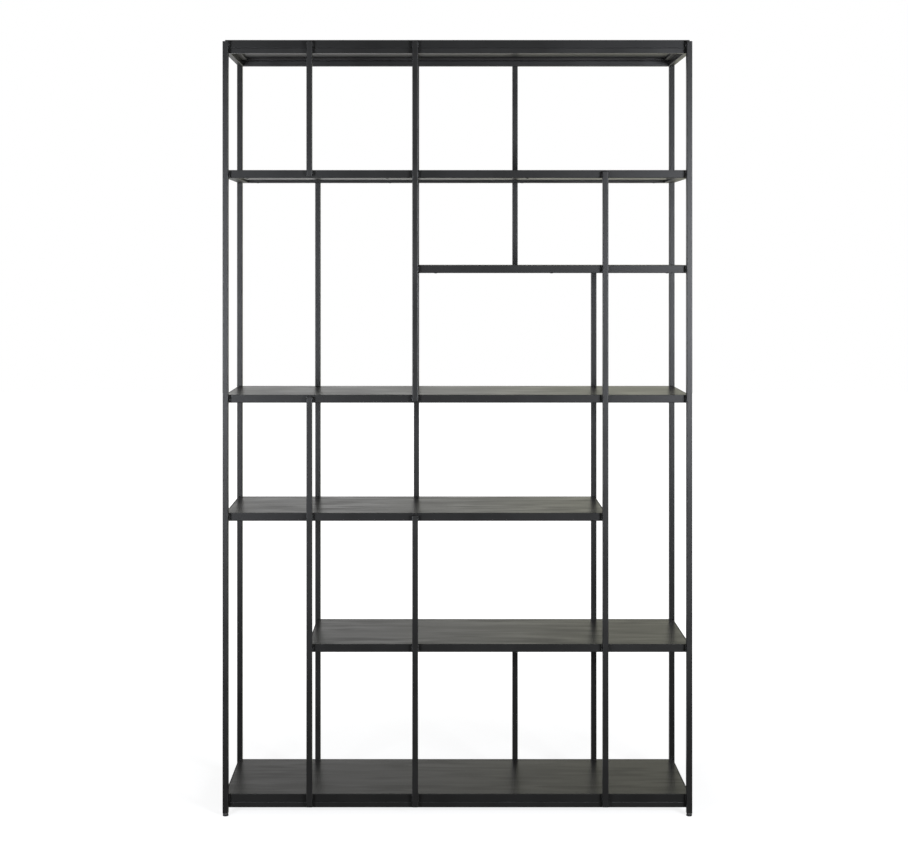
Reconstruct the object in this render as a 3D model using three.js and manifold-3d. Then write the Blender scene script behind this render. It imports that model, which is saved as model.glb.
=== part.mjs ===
// Open shelving bookcase: black welded steel frame, black stained wooden boards, levelling feet.
// Millimetres. +X to the right, +Y to the back, +Z up. Origin on the floor under the middle.
import * as THREE from 'three';
import { mergeVertices } from 'three/addons/utils/BufferGeometryUtils.js';
import Module from 'manifold-3d';

const wasm = await Module();
wasm.setup();

// ---------------------------------------------------------------- driving dimensions
const WIDTH = 1300;            // over the corner posts
const DEPTH = 350;             // over the front and back posts
const HEIGHT = 2150;           // floor to the top shelf's upper face

const POST = 16;               // square tube of the posts
const POST_WALL = 1.5;
const POST_RADIUS = 2;         // rounded edge of a drawn tube
const POST_END_INSET = 5;      // a post stops this much short of the faces of the shelves it joins
const POST_FOOT_GAP = 10;      // floor to the lower end of a corner post
const VENT_RADIUS = 2;         // paint vent in the lower end of a closed tube

const TRAY_HEIGHT = 22;        // folded steel frame around each board
const TRAY_LEG = 30;           // flat flange under the board, with its inner lip
const TRAY_LIP = 7;            // height of the inner lip, which carries the board
const TRAY_WALL = 2;           // sheet thickness
const TRAY_EDGE_RADIUS = 1.5;
const TRAY_INSET = 5;          // tray's end to the outer face of the end post
const BOARD_GAP = 1;           // clearance between board and tray, all round
const SCREW_HOLE_RADIUS = 2.25; // board screws pass through the flange, beside the rails
const SCREW_LINE = 21;         // from the tray's outer face
const SCREW_END_DISTANCE = 60;

const RAIL = 15;               // carrier rail tube under the top and bottom trays
const RAIL_WALL = 1.5;
const RAIL_RADIUS = 2;

const PAD_RADIUS = 8;
const PAD_HEIGHT = 5;
const PAD_EDGE = 1;            // chamfer at the floor
const SOCKET_RADIUS = 3.5;
const SOCKET_FLOOR = 2;
const STEM_RADIUS = 3;         // M6 thread, drawn at its outside diameter
const STEM_TOP = 28;
const COLLAR_FLATS = 10;       // hexagon across flats
const COLLAR_TOP = 7.75;
const RUNNING_GAP = 0.25;
const INSERT_FLANGE = 2;
const INSERT_TOP = 26;
const INSERT_HOLE_RADIUS = 3.25;
const INSERT_GAP = 0.25;       // insert to the inside of the tube

// Upper faces of the shelves, from the floor.
const LEVEL = { top: HEIGHT, upper: 1789, high: 1525, middle: 1165, low: 837, lower: 473, bottom: 57 };

// Post centre lines across the width.
const COLUMN = {
  left: -(WIDTH - POST) / 2,
  midLeft: -410,
  centre: -117,
  centreRight: 176,
  midRight: 410,
  right: (WIDTH - POST) / 2,
};

const FRONT = -(DEPTH - POST) / 2; // centre line of the front posts
const BACK = (DEPTH - POST) / 2;   // centre line of the back posts
const TRAY_FRONT = -DEPTH / 2 + POST;
const TRAY_BACK = DEPTH / 2 - POST;
const TRAY_OVERLAP = POST / 2 - TRAY_INSET; // tray's end past the post's centre line

const ROUND_STEPS = 24;
const HOLE_STEPS = 12;
const CORNER_STEPS = 3;

// ---------------------------------------------------------------- materials
const blackSteel = () => new THREE.MeshStandardMaterial({ color: 0x2b2c2e, roughness: 0.5, metalness: 0.2 });
const stainedWood = () => new THREE.MeshStandardMaterial({ color: 0x2e2d2a, roughness: 0.45, metalness: 0 });
const blackPlastic = () => new THREE.MeshStandardMaterial({ color: 0x1b1b1c, roughness: 0.6, metalness: 0 });
const zincSteel = () => new THREE.MeshStandardMaterial({ color: 0x9a9a98, roughness: 0.35, metalness: 0.9 });

// ---------------------------------------------------------------- shapes
function roundedRectangle(x0, y0, x1, y1, radius) {
  const shape = new THREE.Shape();
  shape.moveTo(x0 + radius, y0);
  shape.lineTo(x1 - radius, y0);
  shape.absarc(x1 - radius, y0 + radius, radius, -Math.PI / 2, 0);
  shape.lineTo(x1, y1 - radius);
  shape.absarc(x1 - radius, y1 - radius, radius, 0, Math.PI / 2);
  shape.lineTo(x0 + radius, y1);
  shape.absarc(x0 + radius, y1 - radius, radius, Math.PI / 2, Math.PI);
  shape.lineTo(x0, y0 + radius);
  shape.absarc(x0 + radius, y0 + radius, radius, Math.PI, Math.PI * 1.5);
  return shape;
}

// A prism with rounded upright edges, standing between two heights.
function roundedPrism(x0, y0, x1, y1, radius, z0, z1) {
  const options = { depth: z1 - z0, bevelEnabled: false, curveSegments: CORNER_STEPS };
  const geometry = new THREE.ExtrudeGeometry(roundedRectangle(x0, y0, x1, y1, radius), options);
  return geometry.translate(0, 0, z0);
}

function box(x0, y0, z0, x1, y1, z1) {
  const geometry = new THREE.BoxGeometry(x1 - x0, y1 - y0, z1 - z0);
  return geometry.translate((x0 + x1) / 2, (y0 + y1) / 2, (z0 + z1) / 2);
}

// An upright cylinder centred on x, y.
function drum(x, y, radius, z0, z1, steps = ROUND_STEPS) {
  const geometry = new THREE.CylinderGeometry(radius, radius, z1 - z0, steps);
  return geometry.rotateX(Math.PI / 2).translate(x, y, (z0 + z1) / 2);
}

// ---------------------------------------------------------------- joining and cutting
function toSolid(geometry) {
  const plain = geometry.clone();
  plain.deleteAttribute('normal');
  plain.deleteAttribute('uv');
  const merged = mergeVertices(plain);
  return new wasm.Manifold(new wasm.Mesh({
    numProp: 3,
    vertProperties: Float32Array.from(merged.attributes.position.array),
    triVerts: Uint32Array.from(merged.index.array),
  }));
}

function toGeometry(solid) {
  const mesh = solid.getMesh();
  const geometry = new THREE.BufferGeometry();
  geometry.setAttribute('position', new THREE.BufferAttribute(Float32Array.from(mesh.vertProperties), 3));
  geometry.setIndex(new THREE.BufferAttribute(Uint32Array.from(mesh.triVerts), 1));
  geometry.computeVertexNormals();
  return geometry;
}

function cut(body, tools) {
  return toGeometry(tools.reduce((solid, tool) => solid.subtract(toSolid(tool)), toSolid(body)));
}

function join(parts) {
  const [first, ...others] = parts.map(toSolid);
  return others.reduce((solid, other) => solid.add(other), first);
}

// ---------------------------------------------------------------- pieces
// A post is a square tube with a plate welded into its top end. A corner post is open below,
// for its foot. Any other post is closed below too, with a small paint vent in that plate.
function postGeometry(bottom, top, openBelow) {
  const half = POST / 2;
  const inner = half - POST_WALL;
  const cavityBottom = openBelow ? bottom - POST_WALL : bottom + POST_WALL;
  const tube = roundedPrism(-half, -half, half, half, POST_RADIUS, bottom, top);
  const cavity = box(-inner, -inner, cavityBottom, inner, inner, top - POST_WALL);
  const vent = drum(0, 0, VENT_RADIUS, bottom - POST_WALL, bottom + 2 * POST_WALL, HOLE_STEPS);
  return cut(tube, openBelow ? [cavity] : [cavity, vent]);
}

// Board screws stand in two rows, evenly spaced between the tray's ends.
function screwPositions(x0, x1) {
  const first = x0 + SCREW_END_DISTANCE;
  const span = x1 - x0 - 2 * SCREW_END_DISTANCE;
  const count = span > 1000 ? 4 : 3;
  const spots = [];
  for (let i = 0; i < count; i += 1) {
    const x = first + (span * i) / (count - 1);
    spots.push([x, TRAY_FRONT + SCREW_LINE], [x, TRAY_BACK - SCREW_LINE]);
  }
  return spots;
}

// A tray is a mitred frame of folded sheet: an upright wall outside, a flat flange inward under
// the board, and a lip folded up along the flange's inner edge, on which the board lies.
function trayGeometry(x0, x1, top) {
  const bottom = top - TRAY_HEIGHT;
  const outer = roundedPrism(x0, TRAY_FRONT, x1, TRAY_BACK, TRAY_EDGE_RADIUS, bottom, top);
  const inset = (margin, z0, z1) => (
    box(x0 + margin, TRAY_FRONT + margin, z0, x1 - margin, TRAY_BACK - margin, z1)
  );
  const pocket = inset(TRAY_WALL, bottom + TRAY_WALL, top + TRAY_WALL);
  const lipBlock = inset(TRAY_LEG - TRAY_WALL, bottom + TRAY_WALL / 2, bottom + TRAY_LIP);
  const window = inset(TRAY_LEG, bottom - TRAY_WALL, top + TRAY_WALL);
  const holes = screwPositions(x0, x1).map(([x, y]) => (
    drum(x, y, SCREW_HOLE_RADIUS, bottom - TRAY_WALL, bottom + 2 * TRAY_WALL, HOLE_STEPS)
  ));
  return cut(toGeometry(join([cut(outer, [pocket]), lipBlock])), [window, ...holes]);
}

function boardGeometry(x0, x1, top) {
  const margin = TRAY_WALL + BOARD_GAP;
  const bottom = top - TRAY_HEIGHT + TRAY_LIP;
  return box(x0 + margin, TRAY_FRONT + margin, bottom, x1 - margin, TRAY_BACK - margin, top);
}

// A long rail runs the tray's whole length and is closed at both ends, with a vent below.
function longRailGeometry(length) {
  const half = RAIL / 2;
  const inner = half - RAIL_WALL;
  const end = length / 2;
  const tube = roundedPrism(-half, -half, half, half, RAIL_RADIUS, -end, end).rotateY(Math.PI / 2);
  const cavity = box(RAIL_WALL - end, -inner, -inner, end - RAIL_WALL, inner, inner);
  const vent = drum(end - RAIL, 0, VENT_RADIUS, -RAIL, -inner + RAIL_WALL, HOLE_STEPS);
  return cut(tube, [cavity, vent]);
}

// A cross rail is an open tube between the two long rails.
function crossRailGeometry(length) {
  const half = RAIL / 2;
  const inner = half - RAIL_WALL;
  const end = length / 2;
  const tube = roundedPrism(-half, -half, half, half, RAIL_RADIUS, -end, end).rotateX(Math.PI / 2);
  return cut(tube, [box(-inner, -length, -inner, inner, length, inner)]);
}

// The insert plugs the corner post's lower end and holds the foot's thread.
function insertGeometry() {
  const half = POST / 2;
  const plugHalf = half - POST_WALL - INSERT_GAP;
  const flangeBottom = POST_FOOT_GAP - INSERT_FLANGE;
  const flange = roundedPrism(-half, -half, half, half, POST_RADIUS, flangeBottom, POST_FOOT_GAP);
  const plug = box(-plugHalf, -plugHalf, POST_FOOT_GAP - 1, plugHalf, plugHalf, INSERT_TOP);
  const hole = toSolid(drum(0, 0, INSERT_HOLE_RADIUS, 0, INSERT_TOP + 1));
  return toGeometry(join([flange, plug]).subtract(hole));
}

// The stem is a threaded rod with a hexagon collar; its lower end turns in the pad's socket.
function stemGeometry() {
  const collarRadius = COLLAR_FLATS / 2 / Math.cos(Math.PI / 6);
  const rod = drum(0, 0, STEM_RADIUS, SOCKET_FLOOR + RUNNING_GAP, STEM_TOP);
  const collar = drum(0, 0, collarRadius, PAD_HEIGHT + RUNNING_GAP, COLLAR_TOP, 6);
  return toGeometry(join([rod, collar]));
}

function padGeometry() {
  const profile = [
    new THREE.Vector2(0, 0),
    new THREE.Vector2(PAD_RADIUS - PAD_EDGE, 0),
    new THREE.Vector2(PAD_RADIUS, PAD_EDGE),
    new THREE.Vector2(PAD_RADIUS, PAD_HEIGHT - PAD_EDGE),
    new THREE.Vector2(PAD_RADIUS - PAD_EDGE, PAD_HEIGHT),
    new THREE.Vector2(SOCKET_RADIUS, PAD_HEIGHT),
    new THREE.Vector2(SOCKET_RADIUS, SOCKET_FLOOR),
    new THREE.Vector2(0, SOCKET_FLOOR),
  ];
  return new THREE.LatheGeometry(profile, ROUND_STEPS).rotateX(Math.PI / 2);
}

// ---------------------------------------------------------------- assembly
const group = new THREE.Group();

function place(name, geometry, material, x = 0, y = 0, z = 0) {
  const mesh = new THREE.Mesh(geometry, material);
  mesh.name = name;
  mesh.position.set(x, y, z);
  group.add(mesh);
}

// Shelves: name, level, left and right end column.
const SHELVES = [
  ['top', LEVEL.top, COLUMN.left, COLUMN.right],
  ['upper', LEVEL.upper, COLUMN.left, COLUMN.right],
  ['high', LEVEL.high, COLUMN.centre, COLUMN.right],
  ['middle', LEVEL.middle, COLUMN.left, COLUMN.right],
  ['low', LEVEL.low, COLUMN.left, COLUMN.midRight],
  ['lower', LEVEL.lower, COLUMN.midLeft, COLUMN.right],
  ['bottom', LEVEL.bottom, COLUMN.left, COLUMN.right],
];

for (const [name, top, leftColumn, rightColumn] of SHELVES) {
  const x0 = leftColumn - TRAY_OVERLAP;
  const x1 = rightColumn + TRAY_OVERLAP;
  place(`shelf_${name}_tray`, trayGeometry(x0, x1, top), blackSteel());
  place(`shelf_${name}_board`, boardGeometry(x0, x1, top), stainedWood());
}

// Carrier rails stand under the trays of the top and bottom shelves.
const TRAY_LENGTH = COLUMN.right - COLUMN.left + 2 * TRAY_OVERLAP;
const RAIL_Y = TRAY_BACK - RAIL / 2;
const RAIL_X = TRAY_LENGTH / 2 - RAIL / 2;
for (const [name, top] of [['top', LEVEL.top], ['bottom', LEVEL.bottom]]) {
  const z = top - TRAY_HEIGHT - RAIL / 2;
  place(`rail_${name}_front`, longRailGeometry(TRAY_LENGTH), blackSteel(), 0, -RAIL_Y, z);
  place(`rail_${name}_back`, longRailGeometry(TRAY_LENGTH), blackSteel(), 0, RAIL_Y, z);
  const crossLength = 2 * (RAIL_Y - RAIL / 2);
  place(`rail_${name}_left`, crossRailGeometry(crossLength), blackSteel(), -RAIL_X, 0, z);
  place(`rail_${name}_right`, crossRailGeometry(crossLength), blackSteel(), RAIL_X, 0, z);
}

// Part-height posts: name, column, front or back, shelf at the lower end, shelf at the top end.
const POSTS = [
  ['post_front_upper_left', COLUMN.midLeft, FRONT, LEVEL.upper, LEVEL.top],
  ['post_front_lower_left', COLUMN.midLeft, FRONT, LEVEL.bottom, LEVEL.middle],
  ['post_front_upper_centre', COLUMN.centre, FRONT, LEVEL.middle, LEVEL.top],
  ['post_front_lower_centre', COLUMN.centre, FRONT, LEVEL.bottom, LEVEL.low],
  ['post_front_lower_right', COLUMN.midRight, FRONT, LEVEL.bottom, LEVEL.upper],
  ['post_back_lower_left', COLUMN.midLeft, BACK, LEVEL.bottom, LEVEL.upper],
  ['post_back_upper_centre', COLUMN.centre, BACK, LEVEL.low, LEVEL.top],
  ['post_back_upper_right', COLUMN.centreRight, BACK, LEVEL.high, LEVEL.top],
  ['post_back_lower_centre', COLUMN.centreRight, BACK, LEVEL.bottom, LEVEL.lower],
  ['post_back_lower_right', COLUMN.midRight, BACK, LEVEL.bottom, LEVEL.high],
];

for (const [name, x, y, lowShelf, highShelf] of POSTS) {
  const railBelow = lowShelf === LEVEL.bottom ? RAIL : 0;
  const bottom = lowShelf - TRAY_HEIGHT - railBelow + POST_END_INSET;
  place(name, postGeometry(bottom, highShelf - POST_END_INSET, false), blackSteel(), x, y);
}

// Corner posts, each on a levelling foot.
const CORNERS = [
  ['front_left', COLUMN.left, FRONT],
  ['front_right', COLUMN.right, FRONT],
  ['back_left', COLUMN.left, BACK],
  ['back_right', COLUMN.right, BACK],
];

for (const [name, x, y] of CORNERS) {
  const top = LEVEL.top - POST_END_INSET;
  place(`post_corner_${name}`, postGeometry(POST_FOOT_GAP, top, true), blackSteel(), x, y);
  place(`foot_insert_${name}`, insertGeometry(), blackPlastic(), x, y);
  place(`foot_stem_${name}`, stemGeometry(), zincSteel(), x, y);
  place(`foot_pad_${name}`, padGeometry(), blackPlastic(), x, y);
}

export default group;
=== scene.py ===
"""Finishes and fine geometry for an open bookcase of black steel tube and black stained boards.

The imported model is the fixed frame. Each operator below makes one group of pieces around it.
Lengths are in metres: +X to the right, +Y to the back, +Z up, with the floor at zero.
"""

import functools
import math

import bpy
import numpy as np
from bpy.props import FloatProperty, FloatVectorProperty, IntProperty, PointerProperty
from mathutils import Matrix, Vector


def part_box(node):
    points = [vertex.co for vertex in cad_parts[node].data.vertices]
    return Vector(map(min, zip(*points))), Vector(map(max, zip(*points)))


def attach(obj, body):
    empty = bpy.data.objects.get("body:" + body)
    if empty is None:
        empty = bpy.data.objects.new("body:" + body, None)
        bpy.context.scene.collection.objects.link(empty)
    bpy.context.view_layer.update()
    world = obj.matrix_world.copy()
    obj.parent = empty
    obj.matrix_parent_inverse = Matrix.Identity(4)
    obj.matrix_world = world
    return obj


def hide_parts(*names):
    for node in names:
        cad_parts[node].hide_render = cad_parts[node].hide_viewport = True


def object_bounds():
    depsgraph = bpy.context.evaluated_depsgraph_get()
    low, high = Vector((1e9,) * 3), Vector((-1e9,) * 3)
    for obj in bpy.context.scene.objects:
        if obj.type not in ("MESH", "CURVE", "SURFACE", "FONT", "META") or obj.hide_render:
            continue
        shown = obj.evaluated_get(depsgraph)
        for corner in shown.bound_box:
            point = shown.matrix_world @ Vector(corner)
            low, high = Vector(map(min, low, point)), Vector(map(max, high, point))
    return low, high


bl_info = {
    "name": "Steel and Wood Bookcase",
    "version": (1, 0, 0),
    "blender": (4, 5, 0),
    "location": "3D View > Sidebar > Bookcase",
    "description": "Makes the fine pieces, finishes and studio of an open steel and wood bookcase",
    "category": "Object",
}

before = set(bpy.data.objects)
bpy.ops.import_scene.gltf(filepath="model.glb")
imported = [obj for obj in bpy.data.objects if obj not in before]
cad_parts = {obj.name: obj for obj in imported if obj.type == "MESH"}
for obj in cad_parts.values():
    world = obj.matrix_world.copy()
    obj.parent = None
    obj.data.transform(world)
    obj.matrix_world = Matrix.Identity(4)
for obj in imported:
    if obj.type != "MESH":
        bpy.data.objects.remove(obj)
CAD_BOX = [list(corner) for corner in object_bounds()]

MM = 0.001
SHELVES = ("top", "upper", "high", "middle", "low", "lower", "bottom")
SIDES = ("front", "back", "left", "right")
CORNERS = ("front_left", "front_right", "back_left", "back_right")
POST_NODES = sorted(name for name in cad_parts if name.startswith("post_"))
FAR_POSTS = ("corner_back_left", "corner_back_right", "back_lower_right")
CORNER_STEPS = 5            # segments in each rounded edge of a tube
SUPPORT = 0.4 * MM          # flat strip that keeps a face's shading flat beside a rounded edge


def node_box(name):
    """A CAD node's lowest and highest corner as numpy arrays."""
    low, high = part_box(name)
    return np.array(low), np.array(high)


# ---------------- settings
def metres(name, description, default):
    """A length setting, in metres."""
    return FloatProperty(name=name, description=description, unit="LENGTH", default=default)


def share(name, description, default):
    """A setting from 0 to 1."""
    return FloatProperty(name=name, description=description, subtype="FACTOR", min=0, max=1,
                         default=default)


def tint(name, description, default):
    """A colour setting. A light's may pass 1."""
    return FloatVectorProperty(name=name, description=description, subtype="COLOR", size=3,
                               min=0, default=default)


def watts(name, description, default):
    """A lamp's power, in watts."""
    return FloatProperty(name=name, description=description, unit="POWER", default=default)


class SteelSettings(bpy.types.PropertyGroup):
    """The welded frame: tube, folded sheet and welds, and their powder coat."""

    colour: tint("Coat", "Powder coat colour", (0.0054, 0.0052, 0.0048))
    tube_roughness: share("Tube roughness", "Powder coat roughness on drawn tube", 0.39)
    sheet_roughness: share("Sheet roughness", "Powder coat roughness on rolled sheet", 0.42)
    tube_radius: metres("Tube edge", "Rounded edge of the drawn square tube", 2.0 * MM)
    tube_wall: metres("Tube wall", "Wall of the square tube", 1.5 * MM)
    end_radius: metres("Ground end", "Rounding where an end plate was ground flush", 0.8 * MM)
    rail_radius: metres("Rail edge", "Rounded edge of the carrier rails' tube", 1.1 * MM)
    vent_radius: metres("Paint vent", "Radius of the vent in a closed tube", 2.0 * MM)
    sheet: metres("Tray sheet", "Thickness of the trays' folded sheet", 2.0 * MM)
    flange: metres("Tray flange", "Flat flange under the board", 30.0 * MM)
    lip: metres("Tray lip", "Height of the folded lip that the board lies on", 7.0 * MM)
    screw_line: metres("Screw line", "Board screws, from the tray's outer face", 21.0 * MM)
    screw_end: metres("Screw end distance", "First board screw, from the tray's end", 60.0 * MM)
    bead: metres("Weld bead", "Leg of the fillet weld beside a post", 2.2 * MM)


class WoodSettings(bpy.types.PropertyGroup):
    """The boards and their stain."""

    dark: tint("Late wood", "Stain colour in the dark streaks", (0.0092, 0.0092, 0.0086))
    light: tint("Early wood", "Stain colour in the light streaks", (0.0205, 0.0205, 0.0190))
    roughness: share("Roughness", "Lacquer roughness", 0.32)
    stave_width: metres("Stave", "Width of the staves glued into a board", 77.5 * MM)
    edge_radius: metres("Eased edge", "Rounding of the board's edges", 0.8 * MM)
    waviness: metres("Waviness", "Depth of the planing waves in the upper face", 0.12 * MM)


class FootSettings(bpy.types.PropertyGroup):
    """The levelling feet."""

    pitch: metres("Thread pitch", "Rise of the thread in one turn", 1.0 * MM)
    thread_depth: metres("Thread depth", "Crest to root", 0.61 * MM)
    grips: IntProperty(
        name="Grips", description="Moulded finger ribs around each pad", default=18, min=3)


class StageSettings(bpy.types.PropertyGroup):
    """Camera, floor and lamps."""

    camera_x: metres("Camera across", "Camera place across the width", -0.064)
    camera_distance: metres("Camera distance", "From the front posts' faces", 4.5243)
    camera_height: metres("Camera height", "Above the floor", 1.5448)
    lens: FloatProperty(
        name="Lens", description="Focal length in millimetres", default=64.86)
    shift_x: FloatProperty(name="Shift across", description="Lens shift", default=0.0217)
    shift_y: FloatProperty(name="Shift up", description="Lens shift", default=-0.1861)
    key_power: watts("Key", "Right soft box", 115.0)
    fill_power: watts("Fill", "Left soft box", 82.0)
    panel_power: watts("Panel", "Large pale panel in front, which only the boards mirror", 55.0)
    far_share: FloatVectorProperty(
        name="Far share", description="Right and left soft box's share that flags leave on the "
        "outer back posts", size=2, min=0, max=1, default=(0.66, 0.76))
    behind: tint("Backdrop light", "Light from behind the bookcase", (1.17, 1.17, 1.16))
    behind_right: tint("Backdrop light, right", "The same towards the right", (1.08, 1.075, 0.90))
    ahead: tint("Room light", "Light from in front of the bookcase", (0.066, 0.064, 0.056))
    overhead: tint("Ceiling light", "Light from straight above", (0.40, 0.40, 0.39))


# ---------------- outlines and skins
def rounded_outline(corners, radii, steps):
    """A closed outline through the corners, each replaced by an arc that touches both its sides.

    The arc's centre lies on the corner's bisector at radius / sin(half angle). Two more points,
    a short strip past the arc's ends, keep the flats flat. A corner of radius zero stays a point.
    Returns the points and a weight that is 1 on the arcs and 0 elsewhere.
    """
    corners = np.asarray(corners, float)
    points, weights = [], []
    for before, corner, after, radius in zip(
            np.roll(corners, 1, 0), corners, np.roll(corners, -1, 0), radii):
        if radius <= 0:
            points.append(corner[None])
            weights.append([0.0])
            continue
        u = (before - corner) / np.linalg.norm(before - corner)
        v = (after - corner) / np.linalg.norm(after - corner)
        half = math.acos(np.clip(u @ v, -1, 1)) / 2
        reach = radius / math.tan(half)
        centre = corner + (u + v) / np.linalg.norm(u + v) * radius / math.sin(half)
        start, end = corner + u * reach - centre, corner + v * reach - centre
        sweep = math.pi - 2 * half
        t = np.linspace(0, 1, steps + 1)[:, None]
        arc = (np.sin((1 - t) * sweep) * start + np.sin(t * sweep) * end) / math.sin(sweep)
        strip = min(SUPPORT, reach)
        points += [(corner + u * (reach + strip))[None], centre + arc,
                   (corner + v * (reach + strip))[None]]
        weights += [[0.0], np.ones(steps + 1), [0.0]]
    return np.concatenate(points), np.concatenate(weights)


def rectangle_ring(half_x, half_y, radius):
    """Anticlockwise rounded rectangle about the origin, as points and edge weights."""
    corners = [(half_x, -half_y), (half_x, half_y), (-half_x, half_y), (-half_x, -half_y)]
    return rounded_outline(corners, [radius] * 4, CORNER_STEPS)


def stack_rings(levels):
    """Rings of a prismatic piece: levels are (half_x, half_y, radius, height, edge weight).

    Ring k is the rounded rectangle of its level at its height, so that the whole is one grid
    of height against the way round. Returns it with the larger of both edge weights.
    """
    rings, weights = [], []
    for half_x, half_y, radius, height, edge in levels:
        points, around = rectangle_ring(half_x, half_y, radius)
        rings.append(np.column_stack([points, np.full(len(points), height)]))
        weights.append(np.maximum(around, edge))
    return np.array(rings), np.array(weights)


def skin(rings, closed=False):
    """Faces between neighbouring rings of a grid, (j, j+1) by (k, k+1), as rows of four.

    A closed grid joins its last ring to its first. Otherwise both end rings get a cap.
    """
    count, around = rings.shape[:2]
    k = np.arange(count if closed else count - 1)[:, None]
    j = np.arange(around)[None]
    here, there = k * around, (k + 1) % count * around
    after = (j + 1) % around
    quads = np.stack([here + j, here + after, there + after, there + j], -1).reshape(-1, 4)
    caps = [] if closed else [
        np.arange(around)[::-1], np.arange(around) + (count - 1) * around]
    return quads, caps


def add_piece(name, parts, material, body="root", replaces=None, smooth_angle=50):
    """One object from several (points, quads, caps, edge weights) parts, riding on its body.

    Quads go in as one block of loops and the few caps follow. Face shading is smooth up to
    the given angle. The edge weights become the point attribute that the finishes read.
    """
    points, quads, caps, weights, base = [], [], [], [], 0
    for part_points, part_quads, part_caps, part_weights in parts:
        flat = part_points.reshape(-1, 3)
        points.append(flat)
        quads.append(part_quads + base)
        caps += [cap + base for cap in part_caps]
        weights.append(np.asarray(part_weights, float).reshape(-1))
        base += len(flat)
    points, quads, weights = np.concatenate(points), np.concatenate(quads), np.concatenate(weights)
    loops = np.concatenate([quads.reshape(-1), *caps]).astype(np.int32)
    sizes = np.concatenate([np.full(len(quads), 4), [len(cap) for cap in caps]]).astype(np.int32)
    starts = np.concatenate([[0], np.cumsum(sizes)[:-1]]).astype(np.int32)
    mesh = bpy.data.meshes.new(name)
    mesh.vertices.add(len(points))
    mesh.vertices.foreach_set("co", points.astype(np.float32).reshape(-1))
    mesh.loops.add(len(loops))
    mesh.loops.foreach_set("vertex_index", loops)
    mesh.polygons.add(len(sizes))
    mesh.polygons.foreach_set("loop_start", starts)
    mesh.update(calc_edges=True)
    mesh.validate()
    mesh.shade_smooth()
    mesh.set_sharp_from_angle(angle=math.radians(smooth_angle))
    attribute = mesh.attributes.new("edge", "FLOAT", "POINT")
    attribute.data.foreach_set("value", weights.astype(np.float32))
    mesh.materials.append(material)
    piece = bpy.data.objects.new(name, mesh)
    bpy.context.scene.collection.objects.link(piece)
    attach(piece, body)
    if replaces:
        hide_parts(replaces)
    return piece


def eased_levels(half, radius, z, ease, rising, steps=3):
    """Levels of a quarter round of the given radius at one end of a tube.

    The inset is ease * (1 - sin a) and the height from the end ease * (1 - cos a), for a from
    0 at the flat end to a quarter turn at the side, or back where the tube is rising to its top.
    """
    a = np.linspace(0, math.pi / 2, steps + 1)
    inset = ease * (1 - np.sin(a))
    rise = ease * (1 - np.cos(a))
    direction = -1 if rising else 1
    levels = [(half - i, half - i, max(radius - i, 0.2 * MM), z + direction * r, 1.0)
              for i, r in zip(inset, rise)]
    support = (half, half, radius, z + direction * (ease + SUPPORT), 0.0)
    face = (half - ease - SUPPORT, half - ease - SUPPORT, radius / 2, z, 0.0)
    levels = [face, *levels, support]
    return levels[::-1] if rising else levels


def tube_part(half, bottom, top, steel, radius, open_below=False, open_above=False):
    """A square tube from its upper inner plate, down the inside, round the lower end and up.

    An open end turns from the inside straight to the outside. A closed lower end has a plate
    with a round vent. The result is one grid of rings. Under a closed top both ends of the walk
    get a cap, and with an open top the walk closes on itself.
    """
    wall, ease = steel.tube_wall, steel.end_radius
    inner = half - wall
    inner_radius = max(radius - wall, 0.3 * MM)
    vent = steel.vent_radius
    hole = (vent + 0.02 * MM, vent + 0.02 * MM, vent)
    levels = []
    if not open_above:
        levels.append((inner, inner, inner_radius, top - wall, 0.0))
    if open_below:
        levels += [(inner, inner, inner_radius, bottom + ease, 0.0),
                   (inner, inner, inner_radius, bottom, 1.0)]
    else:
        levels += [(inner, inner, inner_radius, bottom + wall, 0.0),
                   (*hole, bottom + wall, 0.0), (*hole, bottom, 0.0)]
    levels += eased_levels(half, radius, bottom, ease, rising=False)
    levels += eased_levels(half, radius, top, ease, rising=True)
    if open_above:
        levels.append((inner, inner, inner_radius, top, 1.0))
    rings, weights = stack_rings(levels)
    quads, caps = skin(rings, closed=open_above)
    return rings, quads, caps, weights


def turned(rings, axis):
    """Rings stacked along Z, turned to be stacked along X or Y without mirroring."""
    order = {"x": (2, 0, 1), "y": (1, 2, 0), "z": (0, 1, 2)}[axis]
    return rings[..., order]


# ---------------- shader building
def fill_inputs(tree, node, values):
    """Puts a value on each given input of a node, or links another node's socket to it."""
    for key, value in values.items():
        if isinstance(value, bpy.types.NodeSocket):
            tree.links.new(value, node.inputs[key])
        else:
            node.inputs[key].default_value = value


def add_node(tree, kind, values=None, **settings):
    """A node with its settings, and with values or other nodes' sockets on its inputs."""
    node = tree.nodes.new(kind)
    for key, value in settings.items():
        setattr(node, key, value)
    fill_inputs(tree, node, values or {})
    return node


def new_group(name, inputs, outputs):
    """A shader node group with the given sockets, each (name, type, default or None)."""
    tree = bpy.data.node_groups.new(name, "ShaderNodeTree")
    for in_out, sockets in (("INPUT", inputs), ("OUTPUT", outputs)):
        for label, kind, default in sockets:
            socket = tree.interface.new_socket(label, in_out=in_out, socket_type=kind)
            if default is not None:
                socket.default_value = default
    given = tree.nodes.new("NodeGroupInput").outputs
    return tree, given, tree.nodes.new("NodeGroupOutput").inputs


def blend_colour(tree, factor, first, second):
    """Colour mix of two sockets or values. The Mix node's colour sockets are 6, 7 and 2."""
    node = add_node(tree, "ShaderNodeMix", data_type="RGBA")
    fill_inputs(tree, node, {0: factor, 6: first, 7: second})
    return node.outputs[2]


def math_node(tree, operation, first, second=0.5, third=0.5, clamp=False):
    """Result socket of a Math node."""
    node = add_node(tree, "ShaderNodeMath", {0: first, 1: second, 2: third},
                    operation=operation, use_clamp=clamp)
    return node.outputs[0]


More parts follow.
